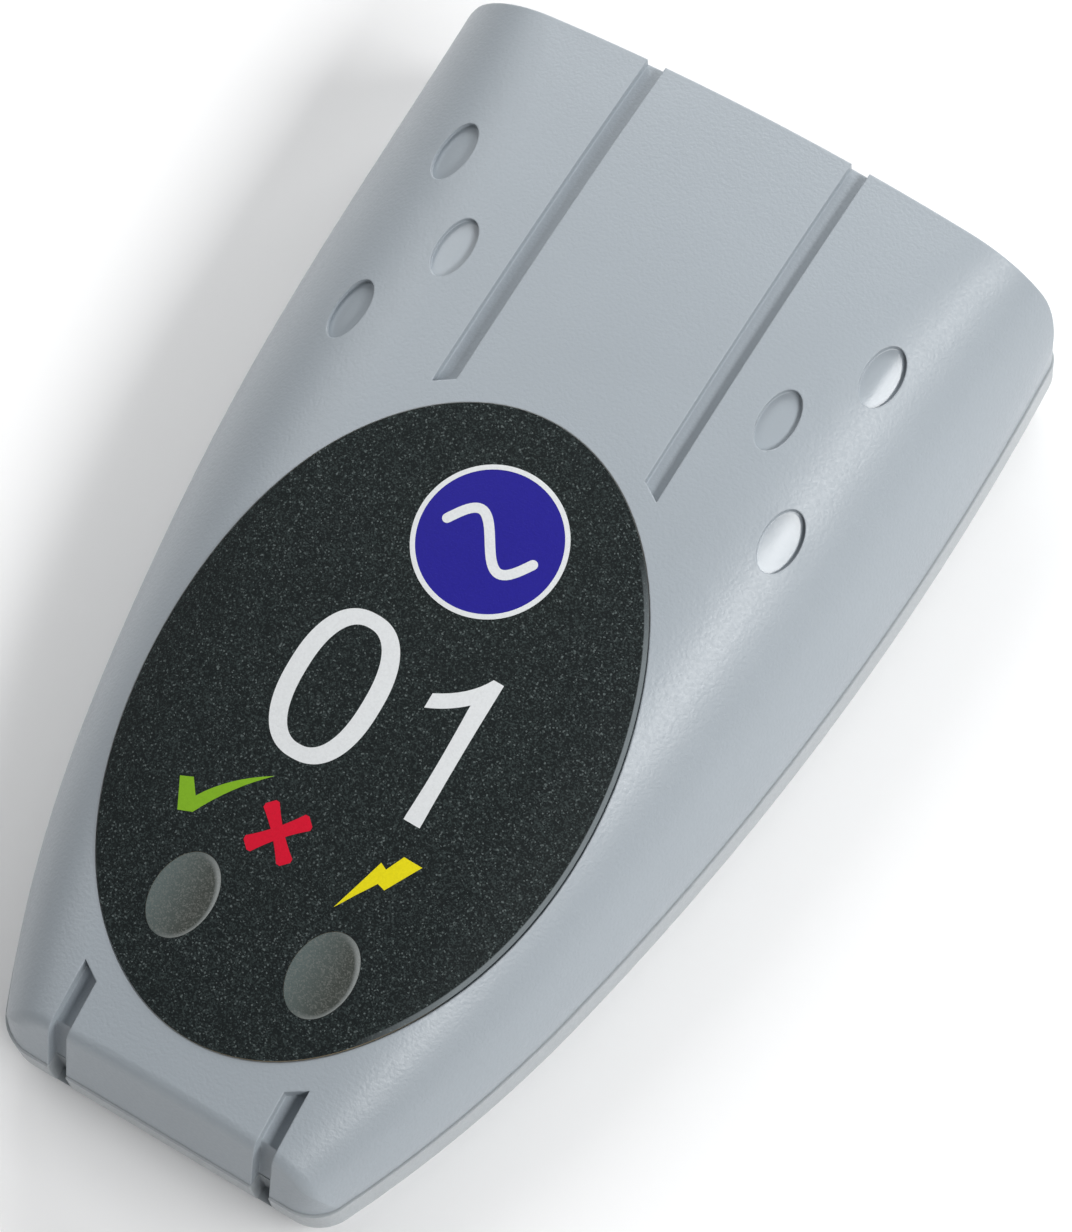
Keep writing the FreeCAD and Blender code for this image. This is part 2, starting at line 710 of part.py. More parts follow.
def make_socket_contacts():
    """Eight spring wires that slope down into the plug opening."""
    body = new_body("socket_contacts")
    high, high_under = "jack_under + 9.6", "jack_under + 9.25"
    low, low_under = "jack_under + 7.6", "jack_under + 7.25"
    strip = [("jack_face - 1.5", high_under), ("jack_face - 1.5", high), ("jack_face - 3.4", high),
             ("jack_face - 9.8", low), ("jack_face - 9.5", low_under), ("jack_face - 3.25", high_under)]
    for number in range(8):
        across = "%g" % (-3.57 + 1.02 * number)
        add_pad(body, "contact_%d" % number, across, "0.4", lambda s: path(s, strip),
                role="YZ_Plane", midplane=True)
    return body


# ---------------------------------------------------------------------------- cells and contacts


def make_cell(name, x, turned):
    """AAA cell, revolved about its own axis, then laid along the unit."""
    body = new_body(name)
    sketch = new_sketch(body, name + "_profile", "XY_Plane")
    path(sketch, [("0", "0"), ("cell_radius - 0.9", "0"), ("cell_radius", "0.5"),
                  ("cell_radius", "cell_length - 1.7"), ("cell_radius - 0.6", "cell_length - 1.1"),
                  ("2.2", "cell_length - 1.1"), ("1.9", "cell_length"), ("0", "cell_length")])
    turn = body.newObject("PartDesign::Revolution", name + "_turn")
    turn.Profile = sketch
    turn.ReferenceAxis = (sketch, ["V_Axis"])
    turn.Angle = 360
    doc.recompute()
    room = "plate_room + spring_length"
    start = "tray_back - (%s)" % room if turned else "-tray_front + " + room
    body.setExpression("Placement.Base.x", linked(x))
    body.setExpression("Placement.Base.y", linked(start))
    body.setExpression("Placement.Base.z", linked("cell_z"))
    if turned:
        body.Placement.Rotation = FreeCAD.Rotation(V(0, 0, 1), 180)
    doc.recompute()
    return body


def make_plate(name, left, right, wall_y, tab_x=None):
    """Flat battery contact against a tray end wall, with a tab up to the board when it has one."""
    body = new_body(name)
    add_pad(body, name + "_plate", "-(%s)" % wall_y, "plate_thick", lambda s: box_path(
        s, left, right, "3.5", "11.6"), "XZ_Plane")
    if tab_x is not None:
        add_pad(body, name + "_tab", "-(%s)" % wall_y, "plate_thick", lambda s: box_path(
            s, tab_x + " - 1", tab_x + " + 1", "11", "board_top + 0.8"), "XZ_Plane")
    return body


def coil_wire():
    """Coil spring along +Z from the origin, of faceted wire swept along a smooth helix."""
    radius, rise = value("coil_radius"), value("coil_pitch")
    length = value("spring_length - 2 * wire_radius")
    steps = 24
    points = []
    for step in range(int(length / rise * steps) + 1):
        turn = 2 * math.pi * step / steps
        points.append(V(radius * math.cos(turn), radius * math.sin(turn), rise * step / steps))
    line = Part.BSplineCurve()
    line.interpolate(points)
    along = line.tangent(line.FirstParameter)[0]
    outward = along.cross(V(0, 0, 1)).normalize() * value("wire_radius")
    ring = []
    for side in range(9):
        ring.append(points[0] + FreeCAD.Rotation(along, 45 * side).multVec(outward))
    return Part.Wire([line.toShape()]).makePipeShell([Part.makePolygon(ring)], True, True)


def make_springs():
    """Two coil springs, one behind the flat end of each cell."""
    coils = []
    for x, y, turn in (("-cell_x", "-tray_front + plate_room + wire_radius", -90),
                       ("cell_x", "tray_back - plate_room - wire_radius", 90)):
        coil = coil_wire()
        coil.Placement = FreeCAD.Placement(
            V(value(x), value(y), value("cell_z")), FreeCAD.Rotation(V(1, 0, 0), turn))
        coils.append(coil)
    springs = doc.addObject("Part::Feature", "battery_springs")
    springs.Shape = Part.makeCompound(coils)
    return springs


# ---------------------------------------------------------------------------- screws


def cross_path(sketch, x, y, arm, half):
    """Plus-shaped recess."""
    steps = [(-half, -arm), (half, -arm), (half, -half), (arm, -half), (arm, half), (half, half),
             (half, arm), (-half, arm), (-half, half), (-arm, half), (-arm, -half), (-half, -half)]
    path(sketch, [("%s + %g" % (x, dx), "%s + %g" % (y, dy)) for dx, dy in steps])


def make_screws(name, places, head_low, head_high, head_radius, shank_radius, tip):
    """Screws as separate solids: a round head with a cross recess and a plain shank."""
    body = new_body(name)
    head_height = "%s - (%s)" % (head_high, head_low)
    add_pad(body, name + "_heads", head_low, head_height, lambda s: discs(s, places, head_radius))
    upward = value(tip) > value(head_low)
    start, end = (head_high, tip) if upward else (tip, head_low)
    shank_length = "%s - (%s)" % (end, start)
    add_pad(body, name + "_shanks", start, shank_length, lambda s: discs(s, places, shank_radius))
    recess = head_low if upward else "%s - 0.9" % head_high
    add_cut(body, name + "_recesses", recess, "0.9", lambda s: [
        cross_path(s, x, y, 1.1, 0.25) for x, y in places])
    return body


# ---------------------------------------------------------------------------- build and export


def build():
    """Make every piece and return them."""
    forms = make_forms()
    pieces = [make_upper_shell(forms), make_lower_shell(forms), make_battery_door(forms)]
    pieces += make_film(forms)
    pieces += make_light_pipes(forms)
    pieces += [make_lamp("status_led", "-status_x"), make_lamp("voltage_led", "voltage_x")]
    pieces.append(make_board())
    pieces += make_components()
    pieces += [make_socket(), make_socket_contacts()]
    pieces.append(make_cell("battery_cell_left", "-cell_x", turned=False))
    pieces.append(make_cell("battery_cell_right", "cell_x", turned=True))
    pieces.append(make_plate("positive_contact", "-9.4", "-1.4", "tray_back", "-cell_x"))
    pieces.append(make_plate("negative_contact", "1.4", "9.4", "tray_back", "cell_x"))
    pieces.append(make_plate("bridge_contact", "-9.4", "9.4", "-tray_front + plate_thick"))
    pieces.append(make_springs())
    pieces.append(make_screws("shell_screws", SCREWS, "1.2", "2.9", "2.1", "1.25", "parting + 4"))
    pieces.append(make_screws(
        "board_screws", BOARD_SCREWS, "board_top", "board_top + 1.3", "1.9", "0.9", "board_under - 4.5"))
    return pieces


def export(pieces):
    """Check every object and write one STEP file for each piece."""
    doc.recompute()
    faults = [item.Name for item in doc.Objects if "Invalid" in item.State or "Error" in item.State]
    if faults:
        raise RuntimeError("objects in error: %s" % faults)
    os.makedirs("parts", exist_ok=True)
    for piece in pieces:
        shape = piece.Shape
        if shape.isNull() or not shape.isValid() or not shape.Solids:
            raise RuntimeError("bad shape: " + piece.Name)
        shape.exportStep("parts/%s.step" % piece.Label)
        print("%-22s %d solid(s) %9.1f mm3" % (piece.Label, len(shape.Solids), shape.Volume))


export(build())
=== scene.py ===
import math

import bmesh
import bpy
from mathutils import Matrix, Vector
from mathutils.bvhtree import BVHTree
from mathutils.geometry import delaunay_2d_cdt


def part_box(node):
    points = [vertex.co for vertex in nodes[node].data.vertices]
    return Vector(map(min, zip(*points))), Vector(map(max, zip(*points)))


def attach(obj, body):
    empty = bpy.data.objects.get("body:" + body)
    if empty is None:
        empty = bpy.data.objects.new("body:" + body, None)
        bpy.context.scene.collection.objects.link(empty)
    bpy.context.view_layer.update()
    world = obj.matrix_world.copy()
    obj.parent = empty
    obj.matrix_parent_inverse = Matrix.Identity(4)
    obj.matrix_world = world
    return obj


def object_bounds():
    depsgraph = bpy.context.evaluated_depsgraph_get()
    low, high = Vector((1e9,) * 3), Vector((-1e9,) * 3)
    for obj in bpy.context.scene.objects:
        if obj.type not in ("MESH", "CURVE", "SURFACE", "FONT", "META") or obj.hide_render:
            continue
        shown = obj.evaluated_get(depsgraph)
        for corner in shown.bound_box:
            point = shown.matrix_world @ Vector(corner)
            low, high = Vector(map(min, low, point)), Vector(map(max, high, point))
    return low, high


# The looks of a hand-held circuit breaker finder: moulded grey case, black graphic film with printed
# digits and symbols, two lamp windows, and everything inside.  Metres, in the row's own frame:
# +Z up, +Y towards the wide socket end, +X across.

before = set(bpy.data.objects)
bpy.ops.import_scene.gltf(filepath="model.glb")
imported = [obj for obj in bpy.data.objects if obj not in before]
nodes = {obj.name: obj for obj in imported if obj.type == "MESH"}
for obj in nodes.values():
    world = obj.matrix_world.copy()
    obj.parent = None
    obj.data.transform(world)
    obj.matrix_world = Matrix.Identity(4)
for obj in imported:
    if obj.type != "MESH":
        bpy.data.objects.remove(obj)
cad_low, cad_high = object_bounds()
MM = 0.001

# Finger dimples of the right half, in millimetres: the left half mirrors them.
DIMPLES = ((21.8, 35), (16.4, 26.5), (21.85, 17.6))
DIMPLE_HALF_WIDTH = 1.6 * MM
DIMPLE_HALF_LENGTH = 3.1 * MM

# Height of one printed layer above the film, and the spacing of the points inside a print.
INK_RISE = 0.012 * MM
DRAPE_STEP = 0.7 * MM

# ------------------------------------------------------------------ node trees


def new_material(name):
    """An empty node material, its tree and its output."""
    material = bpy.data.materials.new(name)
    material.use_nodes = True
    material.node_tree.nodes.clear()
    output = material.node_tree.nodes.new("ShaderNodeOutputMaterial")
    return material, material.node_tree, output


def add(tree, kind, settings=None, **inputs):
    """One shader node, with its settings and its inputs: numbers, colours or other nodes' sockets."""
    node = tree.nodes.new("ShaderNode" + kind)
    for key, setting in (settings or {}).items():
        setattr(node, key, setting)
    for key, given in inputs.items():
        connect(tree, node.inputs[key.replace("_", " ")], given)
    return node


def connect(tree, socket, given):
    """Link a socket to another one, or give it a value."""
    if isinstance(given, bpy.types.NodeSocket):
        tree.links.new(given, socket)
    else:
        socket.default_value = given


def calculate(tree, operation, first, second=0.0):
    """One step of arithmetic."""
    node = tree.nodes.new("ShaderNodeMath")
    node.operation = operation
    connect(tree, node.inputs[0], first)
    connect(tree, node.inputs[1], second)
    return node.outputs[0]


def mix(tree, share, first, second, method="MIX"):
    """Blend of two colours."""
    node = tree.nodes.new("ShaderNodeMix")
    node.data_type = "RGBA"
    node.blend_type = method
    connect(tree, node.inputs["Factor"], share)
    connect(tree, node.inputs[6], first)
    connect(tree, node.inputs[7], second)
    return node.outputs[2]


def ramp(tree, given, low, high, bottom=0.0, top=1.0):
    """Straight change from bottom to top while a value goes from low to high, held beyond."""
    node = tree.nodes.new("ShaderNodeMapRange")
    ends = {"Value": given, "From Min": low, "From Max": high, "To Min": bottom, "To Max": top}
    for key, end in ends.items():
        connect(tree, node.inputs[key], end)
    return node.outputs[0]


def place(tree):
    """Position in the object's own frame, in metres."""
    return tree.nodes.new("ShaderNodeTexCoord").outputs["Object"]


def noise(tree, where, size, detail=2.0, roughness=0.5):
    """Cloudy noise whose features are about one size across."""
    node = add(tree, "TexNoise", Vector=where, Scale=1 / size, Detail=detail, Roughness=roughness)
    return node.outputs["Fac"]


def cells(tree, where, size):
    """A random grey for each small cell."""
    node = add(tree, "TexVoronoi", Vector=where, Scale=1 / size)
    return add(tree, "SeparateColor", Color=node.outputs["Color"]).outputs[0]


def bump(tree, height, distance, normal=None, strength=1.0):
    """Fine relief of a given height."""
    node = add(tree, "Bump", Height=height, Distance=distance, Strength=strength)
    if normal is not None:
        connect(tree, node.inputs["Normal"], normal)
    return node.outputs["Normal"]


def softened_edges(tree, radius):
    """Softened normal near edges, and how far it differs from the true one."""
    soft = add(tree, "Bevel", {"samples": 6}, Radius=radius).outputs["Normal"]
    true = tree.nodes.new("ShaderNodeNewGeometry").outputs["True Normal"]
    dot = tree.nodes.new("ShaderNodeVectorMath")
    dot.operation = "DOT_PRODUCT"
    connect(tree, dot.inputs[0], soft)
    connect(tree, dot.inputs[1], true)
    return soft, ramp(tree, dot.outputs["Value"], 0.995, 0.8)


def upward(tree):
    """How far a face looks up in the object's own frame: 1 for a top, 0 for a side, -1 for an underside."""
    where = tree.nodes.new("ShaderNodeTexCoord")
    return add(tree, "SeparateXYZ", Vector=where.outputs["Normal"]).outputs["Z"]


def squares(tree, first, second):
    """The sum of two squares."""
    first_square = calculate(tree, "MULTIPLY", first, first)
    second_square = calculate(tree, "MULTIPLY", second, second)
    return calculate(tree, "ADD", first_square, second_square)


def grey(level):
    """A neutral colour."""
    return (level, level, level, 1.0)


def shade(colour, factor, lift=0.0):
    """A colour made darker or paler, and opaque."""
    return tuple(min(1.0, part * factor + lift) for part in colour[:3]) + (1.0,)


def surface(tree, output, **inputs):
    """The principled surface that every material ends in."""
    shader = add(tree, "BsdfPrincipled", **inputs)
    tree.links.new(shader.outputs["BSDF"], output.inputs["Surface"])


# ------------------------------------------------------------------ plastics and film


def dimple_mask(tree, where):
    """One inside the finger dimples, whose floors are polished, and zero outside them."""
    parts = add(tree, "SeparateXYZ", Vector=where)
    across = calculate(tree, "ABSOLUTE", parts.outputs["X"])
    mask = 0.0
    for x, y in DIMPLES:
        beside = calculate(tree, "SUBTRACT", across, x * MM)
        ahead = calculate(tree, "SUBTRACT", parts.outputs["Y"], y * MM)
        aside = calculate(tree, "DIVIDE", beside, DIMPLE_HALF_WIDTH)
        along = calculate(tree, "DIVIDE", ahead, DIMPLE_HALF_LENGTH)
        inside = ramp(tree, squares(tree, aside, along), 0.96, 0.9)
        mask = calculate(tree, "MAXIMUM", inside, mask)
    return mask


def moulded_plastic(name, colour, polished=False):
    """Case plastic: fine moulded grain, faint flow mottling, paler edges painted as a highlight and, if
    asked, smooth dimples.
    """
    material, tree, output = new_material(name)
    where = place(tree)
    grain, relief, edge = 0.3 * MM, 0.03 * MM, 0.2 * MM
    dull, dimple_dull = (0.31, 0.43), 0.17
    soft, near_edge = softened_edges(tree, edge)
    mottle = noise(tree, where, 9 * MM, detail=3)
    speck = noise(tree, where, grain, detail=1.5)
    dark = shade(colour, 0.965)
    base = mix(tree, mottle, dark, shade(colour, 1.03))
    base = mix(tree, ramp(tree, speck, 0.3, 0.7, 0.0, 0.6), base, dark)
    # Painted highlight: the colour turns paler near the edges, where the rounded edges catch the light.
    base = mix(tree, calculate(tree, "MULTIPLY", near_edge, 0.35), base, shade(colour, 1.25, 0.03))
    rough = ramp(tree, speck, 0.3, 0.7, *dull)
    strength = 1.0
    if polished:
        mask = dimple_mask(tree, where)
        rough = ramp(tree, mask, 0.0, 1.0, rough, dimple_dull)
        strength = ramp(tree, mask, 0.0, 1.0, 1.0, 0.1)
    surface(tree, output, Base_Color=base, Roughness=rough, IOR=1.52,
            Normal=bump(tree, speck, relief, soft, strength))
    return material


def oval_place(tree, node):
    """How far a point is across an oval node, from -1 to 1, and out from its middle, 1 at the rim."""
    low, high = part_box(node)
    half = (high - low) / 2
    shifted = add(tree, "VectorMath", {"operation": "SUBTRACT"})
    connect(tree, shifted.inputs[0], place(tree))
    shifted.inputs[1].default_value = (low + high) / 2
    parts = add(tree, "SeparateXYZ", Vector=shifted.outputs[0])
    across = calculate(tree, "DIVIDE", parts.outputs["X"], half.x)
    along = calculate(tree, "DIVIDE", parts.outputs["Y"], half.y)
    return across, calculate(tree, "SQRT", squares(tree, across, along))


def graphic_film(name):
    """Velvet black film: dark ground, bright specks, painted glints, a paler band along the rim on the +X
    side, and a brown cut edge that is painted dark as shade on the +X side.
    """
    material, tree, output = new_material(name)
    where = place(tree)
    grain = cells(tree, where, 0.12 * MM)
    haze = noise(tree, where, 0.4 * MM, detail=3)
    ground = mix(tree, haze, (0.004, 0.007, 0.008, 1), (0.012, 0.016, 0.016, 1))
    ground = mix(tree, ramp(tree, grain, 0.5, 1.0, 0.0, 0.8), ground, (0.040, 0.054, 0.053, 1))
    # Painted glints: sparse bright specks that stand in for the film's sparkle.
    glints = ramp(tree, cells(tree, where, 0.13 * MM), 0.93, 0.99)
    ground = mix(tree, glints, ground, (0.10, 0.122, 0.12, 1))
    across, distance = oval_place(tree, "label_overlay")
    side = ramp(tree, across, 0.6, 0.85)
    # A paler grey band along the rim of the film on the +X side.
    margin = calculate(tree, "MULTIPLY", ramp(tree, distance, 0.981, 0.985), side)
    ground = mix(tree, margin, ground, (0.18, 0.205, 0.215, 1))
    # The cut edge keeps its brown colour, but on the +X side it is painted dark as the shade of the recess
    # wall.
    cut_edge_and_painted_shade = mix(tree, side, (0.30, 0.245, 0.16, 1), (0.03, 0.04, 0.045, 1))
    ground = mix(tree, ramp(tree, upward(tree), 0.75, 0.4), ground, cut_edge_and_painted_shade)
    surface(tree, output, Base_Color=ground, Roughness=0.7, IOR=1.25,
            Normal=bump(tree, calculate(tree, "ADD", grain, haze), 0.012 * MM))
    return material


def lamp_film(name, node):
    """Smoked clear window of the film, with painted light: paler towards one side, and a bright far rim
    painted as the lit wall of the well below.
    """
    material, tree, output = new_material(name)
    across, distance = oval_place(tree, node)
    speck = cells(tree, place(tree), 0.12 * MM)
    # Painted light: the window turns paler towards the -X side.
    base = mix(tree, ramp(tree, across, 0.5, -0.8), (0.047, 0.054, 0.047, 1), (0.098, 0.126, 0.122, 1))
    # Painted highlight: a bright crescent on the far rim, the lit wall of the well under the window.
    painted_lit_rim = calculate(tree, "MULTIPLY", ramp(tree, distance, 0.86, 0.97), ramp(tree, across, -0.3, 0.7))
    base = mix(tree, calculate(tree, "MULTIPLY", painted_lit_rim, 0.5), base, (0.45, 0.48, 0.48, 1))
    base = mix(tree, ramp(tree, speck, 0.5, 1.0, 0.0, 0.45), base, (0.20, 0.205, 0.19, 1))
    surface(tree, output, Base_Color=base, Roughness=0.45, IOR=1.45,
            Normal=bump(tree, speck, 0.008 * MM))
    return material


def printed_ink(name, colour):
    """Screen-printed ink: slightly uneven, taking the film's fine texture."""
    material, tree, output = new_material(name)
    where = place(tree)
    grain = cells(tree, where, 0.16 * MM)
    base = mix(tree, ramp(tree, grain, 0.2, 1.0, 0.0, 0.6), colour, shade(colour, 0.9))
    surface(tree, output, Base_Color=base, Roughness=0.5, IOR=1.33,
            Normal=bump(tree, grain, 0.006 * MM))
    return material


def clear_plastic(name):
    """Polished clear light pipe."""
    material, tree, output = new_material(name)
    waves = noise(tree, place(tree), 1.5 * MM)
    surface(tree, output, Base_Color=(0.92, 0.94, 0.95, 1), Roughness=0.06, IOR=1.49,
            Transmission_Weight=1.0, Normal=bump(tree, waves, 0.01 * MM))
    return material


def plain_plastic(name, colour, rough=0.5):
    """Small moulded part: fine grain, slightly uneven colour, and paler edges painted as a highlight."""
    material, tree, output = new_material(name)
    where = place(tree)
    soft, near_edge = softened_edges(tree, 0.1 * MM)
    speck = noise(tree, where, 0.15 * MM)
    base = mix(tree, noise(tree, where, 3 * MM), shade(colour, 0.85), colour)
    # Painted highlight: the colour turns paler near the edges.
    base = mix(tree, calculate(tree, "MULTIPLY", near_edge, 0.3), base, shade(colour, 1.5, 0.04))
    dull = ramp(tree, speck, 0.3, 0.7, rough - 0.06, rough + 0.08)
    surface(tree, output, Base_Color=base, Roughness=dull, IOR=1.5,
            Normal=bump(tree, speck, 0.004 * MM, soft))
    return material


# ------------------------------------------------------------------ metals and electronics


def metal(name, colour, rough, brushed_along=None):
    """Plated or drawn metal, with fine drawing lines along one axis, 0 to 2, when it is given."""
    material, tree, output = new_material(name)
    where = place(tree)
    soft, near_edge = softened_edges(tree, 0.06 * MM)
    stretch = add(tree, "Mapping", Vector=where)
    if brushed_along is not None:
        stretch.inputs["Scale"].default_value[brushed_along] = 0.06
    lines = noise(tree, stretch.outputs[0], 0.08 * MM, detail=3)
    stains = noise(tree, where, 2 * MM, detail=4)
    base = mix(tree, ramp(tree, stains, 0.45, 0.75), colour, shade(colour, 0.72))
    base = mix(tree, calculate(tree, "MULTIPLY", near_edge, 0.4), base, grey(0.9))
    surface(tree, output, Base_Color=base, Metallic=1.0,
            Roughness=ramp(tree, lines, 0.3, 0.7, rough - 0.08, rough + 0.12),
            Normal=bump(tree, lines, 0.002 * MM, soft))
    return material


def board_laminate(name):
    """Green solder mask over faint copper tracks, with bare glass edges."""
    material, tree, output = new_material(name)
    where = place(tree)
    bricks = add(tree, "TexBrick", {"offset": 0.37}, Vector=where, Scale=1 / (9 * MM),
                 Mortar_Size=0.035, Color1=grey(0), Color2=grey(0), Mortar=grey(1))
    tracks = bricks.outputs["Color"]
    weave = noise(tree, where, 0.25 * MM)
    base = mix(tree, weave, (0.008, 0.075, 0.03, 1), (0.014, 0.11, 0.045, 1))
    base = mix(tree, calculate(tree, "MULTIPLY", tracks, 0.6), base, (0.03, 0.19, 0.07, 1))
    side = ramp(tree, calculate(tree, "ABSOLUTE", upward(tree)), 0.6, 0.3)
    base = mix(tree, side, base, (0.35, 0.33, 0.16, 1))
    surface(tree, output, Base_Color=base, Roughness=0.3, IOR=1.5,
            Normal=bump(tree, tracks, 0.03 * MM))
    return material


def lamp_body(name):
    """White lamp case with a yellow phosphor lens on top."""
    material, tree, output = new_material(name)
    lamp_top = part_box("status_led")[1].z
    height = add(tree, "SeparateXYZ", Vector=place(tree)).outputs["Z"]
    top = ramp(tree, height, lamp_top - 0.15 * MM, lamp_top - 0.1 * MM)
    base = mix(tree, top, grey(0.82), (0.80, 0.62, 0.12, 1))
    base = mix(tree, noise(tree, place(tree), 0.3 * MM), base, grey(0.7))
    surface(tree, output, Base_Color=base, Roughness=0.35, IOR=1.5)
    return material


def cell_jacket(name):
    """AAA cell: printed jacket with a pale band at each end, and bare steel within the rolled rims."""
    material, tree, output = new_material(name)
    low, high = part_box("battery_cell_left")
    middle, radius, band_from = (low + high) / 2, (high.z - low.z) / 2, 15.2 * MM
    where = place(tree)
    parts = add(tree, "SeparateXYZ", Vector=where)
    across = calculate(tree, "ABSOLUTE", parts.outputs["X"])
    beside = calculate(tree, "SUBTRACT", across, abs(middle.x))
    above = calculate(tree, "SUBTRACT", parts.outputs["Z"], middle.z)
    distance = calculate(tree, "SQRT", squares(tree, beside, above))
    bare = ramp(tree, distance, radius - 0.45 * MM, radius - 0.5 * MM)
    scuffs = noise(tree, where, 0.6 * MM, detail=5)
    ink = mix(tree, scuffs, (0.02, 0.05, 0.11, 1), (0.03, 0.075, 0.16, 1))
    from_middle = calculate(tree, "ABSOLUTE", calculate(tree, "SUBTRACT", parts.outputs["Y"], middle.y))
    ink = mix(tree, ramp(tree, from_middle, band_from, band_from + 0.1 * MM), ink, grey(0.5))
    base = mix(tree, bare, ink, (0.62, 0.61, 0.58, 1))
    rough = ramp(tree, scuffs, 0.3, 0.7, 0.24, 0.36)
    surface(tree, output, Base_Color=base, Metallic=bare, Roughness=rough, IOR=1.5,
            Normal=bump(tree, scuffs, 0.004 * MM))
    return material


# ------------------------------------------------------------------ finishes of the CAD nodes


def finish_nodes():
    """Give each CAD node its own material."""
    steel = metal("zinc_plated_steel", (0.60, 0.60, 0.60, 1), rough=0.32)
    nickel = metal("nickel_plate", (0.66, 0.64, 0.58, 1), rough=0.24, brushed_along=0)
    lower = moulded_plastic("case_lower_plastic", (0.420, 0.450, 0.470, 1))
    epoxy = plain_plastic("chip_epoxy", (0.03, 0.03, 0.032, 1))
    tin = metal("tin_plate", (0.72, 0.72, 0.71, 1), rough=0.3)
    glow = lamp_body("lamp_body")
    clear = clear_plastic("clear_light_pipe")
    jacket = cell_jacket("cell_jacket")
    finishes = {
        "upper_shell": moulded_plastic("case_upper_plastic", (0.365, 0.405, 0.440, 1), polished=True),
        "lower_shell": lower,
        "battery_door": lower,
        "label_overlay": graphic_film("graphic_film"),
        "status_window": lamp_film("status_window_film", "status_window"),
        "voltage_window": lamp_film("voltage_window_film", "voltage_window"),
        "status_light_pipe": clear,
        "voltage_light_pipe": clear,
        "status_led": glow,
        "voltage_led": glow,
        "circuit_board": board_laminate("board_laminate"),
        "controller_chip": epoxy,
        "signal_transformer": plain_plastic("transformer_case", (0.045, 0.045, 0.05, 1), rough=0.4),
        "voltage_regulator": epoxy,
        "clock_crystal": metal("crystal_can", (0.70, 0.70, 0.69, 1), rough=0.22, brushed_along=1),
        "controller_pins": tin,
        "chip_resistors": plain_plastic("resistor_glaze", (0.02, 0.02, 0.022, 1), rough=0.3),
        "chip_capacitors": plain_plastic("capacitor_ceramic", (0.40, 0.26, 0.13, 1), rough=0.45),
        "smoothing_capacitor": metal("capacitor_can", (0.75, 0.75, 0.77, 1), rough=0.28, brushed_along=2),
        "socket_housing": plain_plastic("socket_plastic", (0.025, 0.025, 0.028, 1), rough=0.42),
        "socket_contacts": metal("gold_flash", (0.83, 0.62, 0.24, 1), rough=0.2),
        "battery_cell_left": jacket,
        "battery_cell_right": jacket,
        "positive_contact": nickel,
        "negative_contact": nickel,
        "bridge_contact": nickel,
        "battery_springs": metal("spring_wire", (0.66, 0.65, 0.62, 1), rough=0.22),
        "shell_screws": steel,
        "board_screws": steel,
    }
    for name, material in finishes.items():
        for slot in nodes[name].material_slots:
            slot.material = material


# ------------------------------------------------------------------ printed graphics


def film_surface():
    """Search tree of the film's faces, to drop prints onto."""
    mesh = nodes["label_overlay"].data
    points = [vertex.co.copy() for vertex in mesh.vertices]
    return BVHTree.FromPolygons(points, [tuple(face.vertices) for face in mesh.polygons])


def height_on(film, x, y):
    """Height of the film's top face above a point of the plan."""
    above = Vector((x, y, cad_high.z + 1 * MM))
    return film.ray_cast(above, Vector((0, 0, -1)))[0].z


def within(point, loop):
    """True when a point of the plan lies inside a closed outline."""
    inside = False
    for start, end in zip(loop, loop[1:] + loop[:1]):
        if (start.y > point.y) != (end.y > point.y):
            crossing = start.x + (point.y - start.y) * (end.x - start.x) / (end.y - start.y)
            inside = inside != (point.x < crossing)
    return inside


def bend(start, through, end, steps=8):
    """Points along a smooth curve from start to just before end, pulled towards a middle point."""
    points = []
    for step in range(steps):
        t = step / steps
        points.append(start * (1 - t) ** 2 + through * 2 * t * (1 - t) + end * t ** 2)
    return points


def plan(*places):
    """Points of the plan from sizes in millimetres."""
    return [Vector((x * MM, y * MM)) for x, y in places]


def round_loop(centre, half_width, half_height, power=2.0, steps=96):
    """Ellipse, or a squarer oval when the power is above two."""
    loop = []
    for step in range(steps):
        turn = 2 * math.pi * step / steps
        c, s = math.cos(turn), math.sin(turn)
        x = half_width * math.copysign(abs(c) ** (2 / power), c)
        y = half_height * math.copysign(abs(s) ** (2 / power), s)
        loop.append(centre + Vector((x, y)))
    return loop


def fill_plan(solids, holes):
    """Points and triangles that fill the plan inside any solid outline and outside every hole."""
    points, edges = [], []
    for loop in solids + holes:
        first = len(points)
        points += loop
        edges += [(first + i, first + (i + 1) % len(loop)) for i in range(len(loop))]
    low = Vector((min(p.x for p in points), min(p.y for p in points)))
    high = Vector((max(p.x for p in points), max(p.y for p in points)))

    def printed(point):
        return any(within(point, s) for s in solids) and not any(within(point, h) for h in holes)

    for column in range(1, int((high.x - low.x) / DRAPE_STEP) + 1):
        for row in range(1, int((high.y - low.y) / DRAPE_STEP) + 1):
            inner = low + Vector((column, row)) * DRAPE_STEP
            if printed(inner):
                points.append(inner)
    flat, _, faces, _, _, _ = delaunay_2d_cdt(points, edges, [], 0, 1e-7)
    kept = [face for face in faces if printed(sum((flat[i] for i in face), Vector((0, 0))) / len(face))]
    return flat, kept


def face_up(mesh):
    """Drop loose points and turn every face of an open patch to look up."""
    shape = bmesh.new()
    shape.from_mesh(mesh)
    loose = [vertex for vertex in shape.verts if not vertex.link_faces]
    bmesh.ops.delete(shape, geom=loose, context="VERTS")
    bmesh.ops.recalc_face_normals(shape, faces=shape.faces)
    if sum(face.normal.z for face in shape.faces) < 0:
        bmesh.ops.reverse_faces(shape, faces=shape.faces)
    shape.to_mesh(mesh)
    shape.free()


